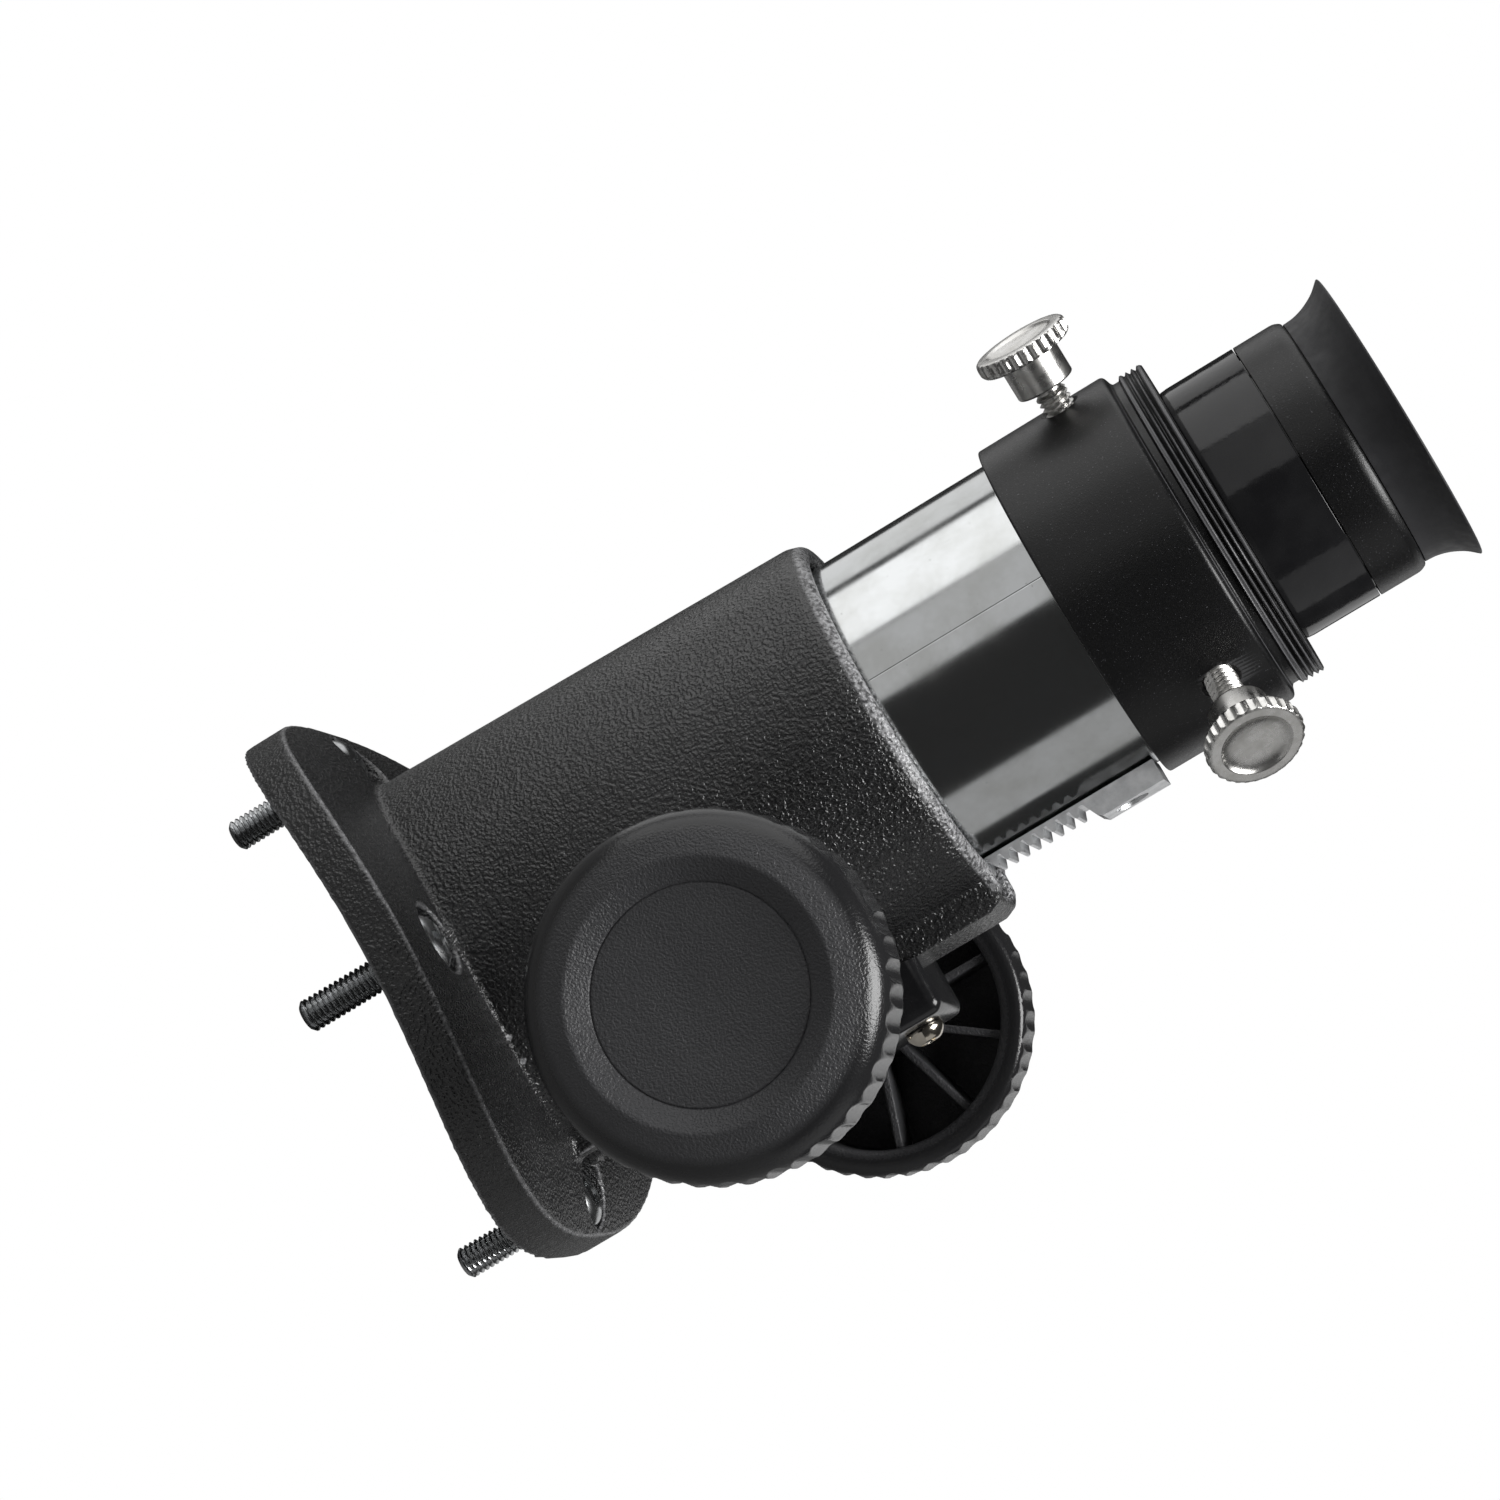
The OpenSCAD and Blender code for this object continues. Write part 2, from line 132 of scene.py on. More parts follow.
def turned(points, steps=192, shape=None, angles=None):
    """Turns an outline about Z. shape(angle, radius, height) gives a point's own radius."""
    made = bmesh.new()
    angles = angles or [TURN * i / steps for i in range(steps)]
    rings = []
    for r, z in points:
        if r < 1e-6:
            rings.append([made.verts.new((0, 0, z))])
            continue
        radii = [shape(a, r, z) if shape else r for a in angles]
        rings.append([made.verts.new((q * math.cos(a), q * math.sin(a), z))
                      for a, q in zip(angles, radii)])
    pairs = list(zip(rings, rings[1:]))
    pairs.append((rings[-1], rings[0]))
    for low, high in pairs:
        if len(low) == len(high) == 1:
            continue
        for i in range(len(angles)):
            j = (i + 1) % len(angles)
            made.faces.new(dict.fromkeys([low[i % len(low)], low[j % len(low)],
                                          high[j % len(high)], high[i % len(high)]]))
    return made


def block(size, centre=(0, 0, 0), edge=0.0, segments=4):
    """A box with rounded edges."""
    made = bmesh.new()
    bmesh.ops.create_cube(made, size=1)
    bmesh.ops.scale(made, vec=size, verts=made.verts)
    bmesh.ops.translate(made, vec=centre, verts=made.verts)
    if edge:
        bmesh.ops.bevel(made, geom=made.edges[:], offset=edge, segments=segments, profile=0.5,
                        affect="EDGES", clamp_overlap=True)
    return made


def rod(radius, low, high, steps=64, top_radius=None):
    """A straight or tapered rod along Z."""
    top = radius if top_radius is None else top_radius
    return turned([Vector((0, low)), Vector((radius, low)), Vector((top, high)),
                   Vector((0, high))], steps)


def joined(*parts):
    """Several meshes in one."""
    made = bmesh.new()
    for part in parts:
        mesh = bpy.data.meshes.new("part")
        part.to_mesh(mesh)
        part.free()
        made.from_mesh(mesh)
        bpy.data.meshes.remove(mesh)
    return made


def moved(made, matrix):
    """A mesh moved by a matrix."""
    made.transform(matrix)
    return made


def carved(made, cutter):
    """A mesh with another one cut out of it."""
    things = []
    for source in (made, cutter):
        mesh = bpy.data.meshes.new("blank")
        bmesh.ops.recalc_face_normals(source, faces=source.faces)
        source.to_mesh(mesh)
        source.free()
        things.append(bpy.data.objects.new("blank", mesh))
        bpy.context.scene.collection.objects.link(things[-1])
    cut = things[0].modifiers.new("cut", "BOOLEAN")
    cut.operation = "DIFFERENCE"
    cut.solver = "EXACT"
    cut.object = things[1]
    result = bmesh.new()
    result.from_object(things[0], bpy.context.evaluated_depsgraph_get())
    for thing in things:
        mesh = thing.data
        bpy.data.objects.remove(thing)
        bpy.data.meshes.remove(mesh)
    return result


def helix(crest, depth, pitch, low, high):
    """The radius of a right-handed screw thread between two levels, faded in at its ends."""
    def shape(angle, radius, height):
        if radius < crest - 0.01 or not low < height < high:
            return radius
        phase = ((height - low) / pitch - angle / TURN) % 1
        groove = min(1, max(0, 1.25 * (1 - abs(2 * phase - 1)) - 0.12))
        fade = min(1, (height - low) / pitch, (high - height) / pitch)
        return radius - depth * groove * fade
    return shape


def fluted(count, tool, floor):
    """The radius of a rim with round-bottomed grooves. floor(index) is the distance from the
    axis to the floor of a groove."""
    def shape(angle, radius, height):
        index = round(angle * count / TURN)
        off = angle - index * TURN / count
        centre = floor(index) + tool
        reach = tool * tool - (centre * math.sin(off)) ** 2
        if reach <= 0:
            return radius
        return min(radius, centre * math.cos(off) - math.sqrt(reach))
    return shape


def add_piece(name, made, look, body, nodes=(), place=None, sharp=38):
    """Finishes a mesh as a piece that rides on a body and stands for CAD nodes."""
    bmesh.ops.scale(made, vec=(MM, MM, MM), verts=made.verts)
    bmesh.ops.recalc_face_normals(made, faces=made.faces)
    for face in made.faces:
        face.smooth = True
    for edge in made.edges:
        edge.smooth = edge.calc_face_angle(math.pi) < math.radians(sharp)
    mesh = bpy.data.meshes.new(name)
    made.to_mesh(mesh)
    made.free()
    mesh.materials.append(look)
    piece = bpy.data.objects.new(name, mesh)
    bpy.context.scene.collection.objects.link(piece)
    if place is not None:
        turn = place.copy()
        turn.translation = place.translation * MM
        piece.matrix_world = turn
    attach(piece, body)
    if nodes:
        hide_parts(*nodes)
    return piece


def softened(node, voxel, rounds):
    """The mesh of a CAD node, in millimetres, remeshed finely and smoothed to round its edges."""
    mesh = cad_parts[node].data.copy()
    welded = bmesh.new()
    welded.from_mesh(mesh)
    bmesh.ops.remove_doubles(welded, verts=welded.verts, dist=1e-6)
    bmesh.ops.scale(welded, vec=(1 / MM,) * 3, verts=welded.verts)
    welded.to_mesh(mesh)
    welded.free()
    thing = bpy.data.objects.new("soft", mesh)
    bpy.context.scene.collection.objects.link(thing)
    remesh = thing.modifiers.new("remesh", "REMESH")
    remesh.mode = "VOXEL"
    remesh.voxel_size = voxel
    smooth = thing.modifiers.new("smooth", "SMOOTH")
    smooth.factor = 0.5
    smooth.iterations = rounds
    result = bmesh.new()
    result.from_object(thing, bpy.context.evaluated_depsgraph_get())
    bpy.data.objects.remove(thing)
    bpy.data.meshes.remove(mesh)
    return result


# ---------------------------------------------------------------- materials

class Look:
    """A Principled material whose patterns are laid out in millimetres on the piece."""

    def __init__(self, name, colour, roughness, metallic=0.0, **sockets):
        self.material = bpy.data.materials.new(name)
        self.material.use_nodes = True
        self.tree = self.material.node_tree
        self.shader = self.tree.nodes["Principled BSDF"]
        self.colour = (*colour, 1)
        self.set("Base Color", self.colour)
        self.set("Roughness", roughness)
        self.set("Metallic", metallic)
        for socket, value in sockets.items():
            self.set(socket.replace("_", " "), value)
        place = self.node("ShaderNodeVectorMath", operation="SCALE")
        place.inputs["Scale"].default_value = 1 / MM
        self.link(self.node("ShaderNodeTexCoord").outputs["Object"], place.inputs[0])
        self.place = place.outputs[0]
        self.normal = None

    def set(self, socket, value):
        self.shader.inputs[socket].default_value = value

    def node(self, kind, **values):
        made = self.tree.nodes.new(kind)
        for key, value in values.items():
            setattr(made, key, value)
        return made

    def link(self, source, target):
        self.tree.links.new(source, target)

    def math(self, operation, first, second):
        """A Math node on two sockets or numbers."""
        made = self.node("ShaderNodeMath", operation=operation)
        for socket, value in zip(made.inputs, (first, second)):
            if isinstance(value, (int, float)):
                socket.default_value = value
            else:
                self.link(value, socket)
        return made.outputs[0]

    def stretched(self, size):
        """The position counted in a pattern size of (x, y, z) millimetres."""
        made = self.node("ShaderNodeVectorMath", operation="DIVIDE")
        made.inputs[1].default_value = size
        self.link(self.place, made.inputs[0])
        return made.outputs[0]

    def noise(self, size, detail=2.0, rough=0.5, stretch=(1, 1, 1)):
        made = self.node("ShaderNodeTexNoise")
        made.inputs["Scale"].default_value = 1
        made.inputs["Detail"].default_value = detail
        made.inputs["Roughness"].default_value = rough
        self.link(self.stretched([size * s for s in stretch]), made.inputs["Vector"])
        return made.outputs["Fac"]

    def radius(self):
        """Distance from the piece's own Z axis, in millimetres."""
        flat = self.node("ShaderNodeVectorMath", operation="MULTIPLY")
        flat.inputs[1].default_value = (1, 1, 0)
        self.link(self.place, flat.inputs[0])
        made = self.node("ShaderNodeVectorMath", operation="LENGTH")
        self.link(flat.outputs[0], made.inputs[0])
        return made.outputs["Value"]

    def height(self):
        """Height along the piece's own Z axis, in millimetres."""
        made = self.node("ShaderNodeSeparateXYZ")
        self.link(self.place, made.inputs[0])
        return made.outputs["Z"]

    def rings(self, pitch):
        """Fine turning lines round the piece's own Z axis, from -1 to 1."""
        return self.math("SINE", self.math("MULTIPLY", self.radius(), TURN / pitch), 0)

    def edge_pointiness(self, start=0.52, end=0.58):
        """How much an edge sticks out, from 0 to 1."""
        point = self.node("ShaderNodeNewGeometry").outputs["Pointiness"]
        return self.remap(point, start, end, 0, 1)

    def remap(self, value, low, high, new_low, new_high):
        made = self.node("ShaderNodeMapRange")
        for socket, number in zip(made.inputs[1:5], (low, high, new_low, new_high)):
            socket.default_value = number
        self.link(value, made.inputs["Value"])
        return made.outputs["Result"]

    def tint(self, amount, other):
        """Shifts the colour towards another one by an amount from 0 to 1."""
        made = self.node("ShaderNodeMix", data_type="RGBA")
        before = self.shader.inputs["Base Color"]
        if before.is_linked:
            self.link(before.links[0].from_socket, made.inputs[6])
        else:
            made.inputs[6].default_value = self.colour
        made.inputs[7].default_value = (*other, 1)
        self.link(amount, made.inputs[0])
        self.link(made.outputs[2], before)
        return self

    def vary(self, value, low, high, rough_low, rough_high):
        """Sets the roughness from a pattern."""
        self.link(self.remap(value, low, high, rough_low, rough_high),
                  self.shader.inputs["Roughness"])
        return self

    def bump(self, height, depth):
        """Adds a relief of a depth in millimetres."""
        made = self.node("ShaderNodeBump")
        made.inputs["Strength"].default_value = 1
        made.inputs["Distance"].default_value = depth * MM
        self.link(height, made.inputs["Height"])
        if self.normal:
            self.link(self.normal, made.inputs["Normal"])
        self.normal = made.outputs["Normal"]
        self.link(self.normal, self.shader.inputs["Normal"])
        return self


def pebbled_plastic():
    """Black moulded plastic with a pebble grain, with painted highlights lightening its low edges and its
    mouth rim.
    """
    look = Look("housing_plastic", (0.010, 0.010, 0.0105), 0.4, Specular_IOR_Level=0.85)
    pebble = look.noise(0.42, 1.5, 0.45)
    grain = look.remap(pebble, 0.36, 0.64, 0, 1)
    look.tint(look.remap(look.noise(9, 3), 0.35, 0.7, 0, 1), (0.018, 0.018, 0.019))
    # Painted highlight: the edges of the low flange are lightened in colour where they stick out.
    edge_highlight_below, plain_above = 6, 8
    low_down = look.remap(look.height(), edge_highlight_below, plain_above, 1, 0)
    edges = look.math("MULTIPLY", look.edge_pointiness(0.515, 0.56), low_down)
    look.tint(edges, (0.34, 0.34, 0.35))
    # Painted highlight: a lighter, broken band round the top of the mouth, kept off the box's end.
    top = HOUSING_HIGH.z
    rim = look.math("MULTIPLY", look.remap(look.height(), top - 1.4, top - 1.0, 0, 1),
                    look.remap(look.noise(0.5, 3), 0.38, 0.62, 0.12, 1))
    rim = look.math("MULTIPLY", rim, look.remap(look.radius(), 25.2, 25.8, 1, 0))
    look.tint(rim, (0.4, 0.4, 0.41))
    look.vary(grain, 0, 1, 0.36, 0.22)
    look.bump(grain, 0.1).bump(look.noise(0.13, 2), 0.012)
    return look.material


def knob_plastic():
    """Satin black plastic with a fine stipple, smoother and glossier round the rim."""
    look = Look("knob_plastic", (0.048, 0.048, 0.051), 0.42)
    rim = look.remap(look.radius(), 17.0, 18.2, 0, 1)
    stipple = look.remap(look.noise(0.3, 1.5), 0.38, 0.62, 0, 1)
    look.tint(look.remap(look.noise(6, 3), 0.35, 0.7, 0, 1), (0.056, 0.056, 0.059))
    look.tint(rim, (0.018, 0.018, 0.019))
    look.vary(look.math("ADD", rim, look.math("MULTIPLY", stipple, 0.2)), 0, 1.2, 0.46, 0.19)
    flat = look.math("MULTIPLY", stipple, look.math("SUBTRACT", 1, look.math("MULTIPLY", rim, 0.8)))
    look.bump(flat, 0.05)
    return look.material


def nylon():
    look = Look("nylon", (0.82, 0.80, 0.74), 0.45, Subsurface_Weight=0.15)
    look.set("Subsurface Radius", (MM, 0.8 * MM, 0.6 * MM))
    look.tint(look.remap(look.noise(3, 3), 0.3, 0.7, 0, 1), (0.74, 0.71, 0.64))
    look.vary(look.noise(0.6, 3), 0.3, 0.7, 0.38, 0.55)
    look.bump(look.noise(0.25, 3), 0.008)
    return look.material


def gloss_paint(name, roughness):
    """Gloss black paint with a little orange peel."""
    look = Look(name, (0.011, 0.011, 0.012), roughness)
    look.tint(look.remap(look.noise(4, 3), 0.4, 0.7, 0, 1), (0.016, 0.016, 0.017))
    look.vary(look.noise(0.7, 3), 0.3, 0.75, roughness * 0.8, roughness * 1.5)
    look.bump(look.noise(0.9, 1), 0.012).bump(look.noise(0.12, 2), 0.0015)
    return look.material


def metal(name, colour, other, roughness, lines=(1, 1, 1), scratch=0.0015, blotch=2.5):
    """Bare or plated metal with fine lines along one way and cloudy patches."""
    look = Look(name, colour, roughness, 1.0)
    clouds = look.noise(blotch, 4, 0.6)
    look.tint(look.remap(clouds, 0.38, 0.68, 0, 1), other)
    look.vary(clouds, 0.3, 0.75, roughness * 0.75, roughness * 1.4)
    look.bump(look.noise(0.12, 3, 0.6, lines), scratch)
    return look


def chrome_tube():
    """Bright plating over a drawn tube: long faint lines and a slight waviness."""
    look = metal("chrome_tube", (0.70, 0.715, 0.72), (0.60, 0.61, 0.60), 0.13, (1, 1, 90), 0.0016, 7)
    look.bump(look.noise(7, 1, 0.4, (1, 1, 3)), 0.02)
    specks = look.remap(look.noise(0.35, 3), 0.70, 0.78, 0, 1)
    look.tint(specks, (0.35, 0.35, 0.34))
    return look.material


def zinc_rack():
    look = metal("rack_zinc", (0.93, 0.94, 0.95), (0.78, 0.79, 0.80), 0.36, (1, 1, 1), 0.004, 1.6)
    look.bump(look.noise(0.5, 2), 0.012)
    return look.material


def turned_nickel():
    """Nickel plate over turned steel: fine rings round the axis."""
    look = metal("thumb_nickel", (0.86, 0.85, 0.83), (0.70, 0.69, 0.66), 0.27, (1, 1, 1), 0.0012, 1.8)
    look.bump(look.rings(0.16), 0.0016)
    return look.material


def screw_metal(name, colour, other, roughness):
    look = metal(name, colour, other, roughness, (1, 1, 1), 0.0015, 1.2)
    return look.material


def shaft_steel():
    look = metal("shaft_steel", (0.52, 0.52, 0.52), (0.40, 0.40, 0.39), 0.28, (40, 1, 1), 0.003, 2)
    return look.material


def black_anodised():
    """Bead-blasted black anodised aluminium, with a fine sparkle painted in as lighter flecks (painted
    glints) and painted highlights on the camera thread's crests.
    """
    look = Look("black_anodised", (0.004, 0.004, 0.0043), 0.34)
    sparkle = look.noise(0.2, 2, 0.6)
    # Painted glints: the sparkle is also painted into the colour as lighter flecks.
    look.tint(look.remap(sparkle, 0.66, 0.76, 0, 1), (0.14, 0.14, 0.15))
    thread_r = CAMERA_THREAD_R
    # Painted highlight: the crests of the camera thread are lightened in colour.
    crest = look.math("MULTIPLY", look.remap(look.radius(), thread_r - 0.18, thread_r - 0.08, 0, 1),
                      look.remap(look.radius(), thread_r + 0.02, thread_r + 0.06, 1, 0))
    look.tint(crest, (0.12, 0.12, 0.125))
    look.tint(look.edge_pointiness(0.53, 0.62), (0.05, 0.05, 0.052))
    look.vary(sparkle, 0.3, 0.7, 0.42, 0.28)
    look.bump(sparkle, 0.026).bump(look.noise(1.2, 2), 0.006)
    return look.material


def eyecup_rubber():
    look = Look("cup_rubber", (0.02, 0.02, 0.022), 0.55, Sheen_Weight=0.08, Sheen_Roughness=0.5)
    look.tint(look.remap(look.noise(5, 4), 0.4, 0.7, 0, 1), (0.03, 0.03, 0.033))
    look.vary(look.noise(1.4, 4), 0.3, 0.7, 0.46, 0.66)
    look.bump(look.noise(0.2, 3), 0.008)
    return look.material


def flat_black():
    look = Look("flat_black", (0.008, 0.008, 0.008), 0.85)
    look.tint(look.noise(1.5, 3), (0.014, 0.014, 0.014))
    look.bump(look.noise(0.15, 3), 0.01)
    return look.material


def coated_glass():
    """Clear glass with a thin green and purple anti-reflection coat."""
    look = Look("coated_glass", (0.86, 0.96, 0.92), 0.02, Transmission_Weight=1.0, IOR=1.52)
    look.set("Specular Tint", (0.55, 0.85, 0.75, 1))
    look.vary(look.noise(4, 2), 0.3, 0.7, 0.01, 0.03)
    look.bump(look.noise(6, 1), 0.002)
    return look.material


LOOKS = {
    "housing_plastic": pebbled_plastic(),
    "knob_plastic": knob_plastic(),
    "nylon": nylon(),
    "black_steel": gloss_paint("black_steel", 0.16),
    "zinc_steel": screw_metal("zinc_steel", (0.60, 0.61, 0.62), (0.42, 0.43, 0.43), 0.22),
    "nickel_screw": screw_metal("nickel_screw", (0.76, 0.71, 0.62), (0.62, 0.56, 0.47), 0.15),
    "shaft_steel": shaft_steel(),
    "chrome_tube": chrome_tube(),
    "rack_zinc": zinc_rack(),
    "black_anodised": black_anodised(),
    "gloss_black": gloss_paint("gloss_black", 0.1),
    "thumb_nickel": turned_nickel(),
    "barrel_chrome": screw_metal("barrel_chrome", (0.74, 0.75, 0.76), (0.66, 0.67, 0.67), 0.07),
    "coated_glass": coated_glass(),
    "flat_black": flat_black(),
    "cup_rubber": eyecup_rubber(),
}


# ---------------------------------------------------------------- screws

def cross(size, depth):
    """The blunt recess for a cross-head driver, reaching down from z = 0."""
    arm, half = size, size * 0.24
    outline = [(arm, -half), (arm, half), (half, half), (half, arm), (-half, arm), (-half, half),
               (-arm, half), (-arm, -half), (-half, -half), (-half, -arm), (half, -arm),
               (half, -half)]
    made = bmesh.new()
    levels = [(0.6, 1.12), (0, 1), (-depth * 0.55, 0.74), (-depth, 0.32)]
    rings = [[made.verts.new((x * share, y * share, z)) for x, y in outline]
             for z, share in levels]
    for upper, lower in zip(rings, rings[1:]):
        for i in range(len(outline)):
            j = (i + 1) % len(outline)
            made.faces.new((upper[i], upper[j], lower[j], lower[i]))
    made.faces.new(rings[0])
    made.faces.new(rings[-1])
    return made


def screw(shank_r, length, head_r, head_h, pitch, neck, dome=0.55):
    """A cross-recessed screw pointing down -Z, with its head seated at z = 0."""
    head = turned(rounded([(0, 0, 0), (head_r, 0, head_h * 0.14),
                           (head_r, head_h * 0.42, head_h * dome),
                           (head_r * 0.6, head_h, head_r * 0.3), (0, head_h, 0)], segments=7), 72)
    head = carved(head, moved(cross(head_r * 0.55, head_h * 0.9),
                              Matrix.Translation((0, 0, head_h))))
    if length <= 0:
        return head
    points = divided(rounded([(0, -length, 0), (shank_r * 0.75, -length, 0.1),
                              (shank_r, -length + pitch * 0.7, 0.1), (shank_r, -neck, 0),
                              (shank_r * 0.96, -neck, 0), (shank_r * 0.96, 0.05, 0),
                              (0, 0.05, 0)]),
                     pitch / 7, lambda p: p.x > shank_r - 0.01)
    shank = turned(points, 40, helix(shank_r, pitch * 0.55, pitch, -length, -neck + 0.01))
    return joined(head, shank)


def add_screws(name, node, body, slot, places, **sizes):
    """A group of the same screw at several places."""
    copies = [moved(screw(**sizes), place) for place in places]
    return add_piece(name, joined(*copies), LOOKS[slot], body, (node,))


def mounting_screw_places(head_r, head_h, length):
    """Four screws on a circle; the pair on the tube's sides sits lower on the curved flange."""
    low, high = span("mounting_screws")
    circle = high.x - head_r
    seats = [high.z - head_h, low.z + length]
    return [Matrix.Rotation(i * TURN / 4, 4, "Z") @ Matrix.Translation((circle, 0, seats[i % 2]))
            @ Matrix.Rotation(0.4 + 1.3 * i, 4, "Z") for i in range(4)]


def facing_minus_y(y, z, spin=0.0):
    """A place on the -Y side, with the piece's own Z towards -Y."""
    return (Matrix.Translation((0, y, z)) @ Matrix.Rotation(math.pi / 2, 4, "X")
            @ Matrix.Rotation(spin, 4, "Z"))


def build_screws():
    head_r, head_h, length = 4.0, 2.4, 16.0
    add_screws("mounting_screw_set", "mounting_screws", "housing", "zinc_steel",
               mounting_screw_places(head_r, head_h, length), shank_r=2.0, length=length,
               head_r=head_r, head_h=head_h, pitch=0.7, neck=4.4)
    small_r, small_h = 2.4, 1.9
    low, high = span("cover_screws")
    add_screws("cover_screw_pair", "cover_screws", "housing", "nickel_screw",
               [facing_minus_y(COVER_LOW.y, low.z + small_r, 0.5),
                facing_minus_y(COVER_LOW.y, high.z - small_r, 1.1)],
               shank_r=1.5, length=10, head_r=small_r, head_h=small_h, pitch=0.5, neck=0.5, dome=0.7)
    tension = screw(shank_r=1.5, length=2.45, head_r=small_r, head_h=small_h, pitch=0.5,
                    neck=0.5, dome=0.7)
    add_piece("tension_screw_part", tension, LOOKS["nickel_screw"], "tension_screw",
              ("tension_screw",), facing_minus_y(COVER_LOW.y, PINION.z, 0.2))


# ---------------------------------------------------------------- housing and cover

def build_housing():
    """The moulded housing: the CAD shape with its edges rounded as a mould leaves them."""
    voxel, rounds = ((0.32, 8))
    made = softened("focuser_housing", voxel, rounds)
    add_piece("focuser_housing_part", made, LOOKS["housing_plastic"], "housing",
              ("focuser_housing",), sharp=180)


def build_cover():
    """Folded steel cover with rounded bends, open towards the housing."""
    sheet, bend, shaft_hole_r, spare = 1.2, 1.5, 2.75, 4.0
    size = COVER_HIGH - COVER_LOW
    centre = (COVER_HIGH + COVER_LOW) / 2
    deeper = Vector((0, spare, 0))
    made = block(size + deeper, centre + deeper / 2, bend, 6)
    inner = size - Vector((2 * sheet, sheet, 2 * sheet)) + deeper
    inner_centre = centre + (deeper + Vector((0, sheet, 0))) / 2 + Vector((0, 0.01, 0))
    made = carved(made, block(inner, inner_centre, bend - 0.9, 4))
    made = carved(made, block((40, spare * 2, 60), (0, COVER_HIGH.y + spare, centre.z)))
    hole = moved(rod(shaft_hole_r, -20, 20), Matrix.Rotation(math.pi / 2, 4, "Y"))
    made = carved(made, moved(hole, Matrix.Translation(PINION)))
    add_piece("pinion_cover_part", made, LOOKS["black_steel"], "housing", ("pinion_cover",),
              sharp=30)


# ---------------------------------------------------------------- knobs

KNOB_DEPTH = 12.4
KNOB_FLUTES = 48
KNOB_RIBS = 10


def knob_floor(index):
    """The floor of a groove round a knob: every second one is a little deeper."""
    return 19.86 if index % 2 else 20.02


def knob_mesh():
    """A knob with its back at z = 0 and its ridge KNOB_DEPTH above it, hollow behind, with ribs."""
    hub_r, hub_low, shaft_r, wall_r, web = 5.0, -7, 2.25, 16.7, 8.4
    outline = [(shaft_r, hub_low, 0.2), (hub_r, hub_low, 0.4), (hub_r - 0.2, web, 0.6), (wall_r, web, 0.8),
               (wall_r + 0.05, 0.5, 0.7), (18.0, -0.02, 0.8), (19.9, 0.05, 1.1), (20.4, 2.6, 1.6),
               (20.38, 6.6, 1.2), (20.12, 8.5, 0.9), (19.65, 9.7, 0.7), (19.0, 10.55, 0.6),
               (18.2, 11.2, 0.6), (17.2, 11.68, 0.8), (14.7, 12.42, 0.35),
               (12.15, 10.98, 0.2), (12.03, 10.78, 0.05), (11.9, 10.95, 0.15), (6.0, 10.55, 6.0),
               (0, 10.3, 0), (0, 5, 0), (shaft_r, 5, 0)]
    points = divided(rounded(outline), 0.3, lambda p: p.x > 19.2)
    made = turned(points, KNOB_FLUTES * 14, fluted(KNOB_FLUTES, 2.2, knob_floor))
    length, thickness, height, rib_low = wall_r - hub_r + 0.5, 1.05, web - 1.2, 1.6
    rib_centre = (hub_r - 0.4 + length / 2, 0, rib_low + height / 2)
    ribs = [moved(block((length, thickness, height), rib_centre, 0.25, 3),
                  Matrix.Rotation(i * TURN / KNOB_RIBS, 4, "Z")) for i in range(KNOB_RIBS)]
    return joined(made, *ribs)


def build_knobs():
    for name, side in (("knob_left", -1), ("knob_right", 1)):
        low, high = span(name)
        face = high.x if side > 0 else low.x
        place = (Matrix.Translation((face - side * KNOB_DEPTH, PINION.y, PINION.z))
                 @ Matrix.Rotation(side * math.pi / 2, 4, "Y"))
        add_piece(name + "_part", knob_mesh(), LOOKS["knob_plastic"], "pinion", (name,),
                  place, sharp=32)


# ---------------------------------------------------------------- drawtube, rack and holder

def build_drawtube():
    """A drawn tube with its long seam."""
    seam, groove, half_width = math.radians(175.4), 0.035, 0.0022
    angles = [TURN * i / 256 for i in range(256)]
    angles = [a for a in angles if abs(a - seam) > 2.5 * half_width]
    angles = sorted(angles + [seam + half_width * k for k in (-2, -1, 0, 1, 2)])

    def shape(angle, radius, height):
        near = max(0, 1 - abs(angle - seam) / (1.6 * half_width))
        return radius - groove * near if radius > TUBE_R - 0.02 else radius

    bore = TUBE_R - 1
    points = rounded([(bore, TUBE_LOW.z, 0.25), (TUBE_R, TUBE_LOW.z, 0.3),
                      (TUBE_R, TUBE_HIGH.z, 0.2), (bore, TUBE_HIGH.z, 0.2)], closed=True)
    points = divided(points, 6.0, lambda p: True)
    add_piece("drawtube_part", turned(points, shape=shape, angles=angles), LOOKS["chrome_tube"],
              "drawtube", ("drawtube",), sharp=60)


RACK_TIP_Y = -21.83
RACK_SCREW_R = 1.8


def rack_outline():
    """The rack's toothed side, as (y, z) points from its low end up."""
    pitch, tip_y, root_y = math.pi * 0.5, RACK_TIP_Y, -20.75
    first, count = -13.5, 40
    bottom, top = RACK_LOW.z, RACK_HIGH.z
    start = PINION.z + (first - 1) * pitch
    points = [(tip_y, bottom), (tip_y, start - 0.4), (root_y, start + 0.1)]
    for k in range(count):
        z = PINION.z + (first + k) * pitch
        points += [(root_y, z - 0.6), (tip_y + 0.14, z - 0.27), (tip_y, z - 0.16),
                   (tip_y, z + 0.16), (tip_y + 0.14, z + 0.27), (root_y, z + 0.6)]
    end = PINION.z + (first + count - 0.5) * pitch
    return points + [(root_y, end + 0.4), (RACK_LOW.y + 0.5, end + 1.3), (RACK_LOW.y, end + 1.9),
                     (RACK_LOW.y, top)]


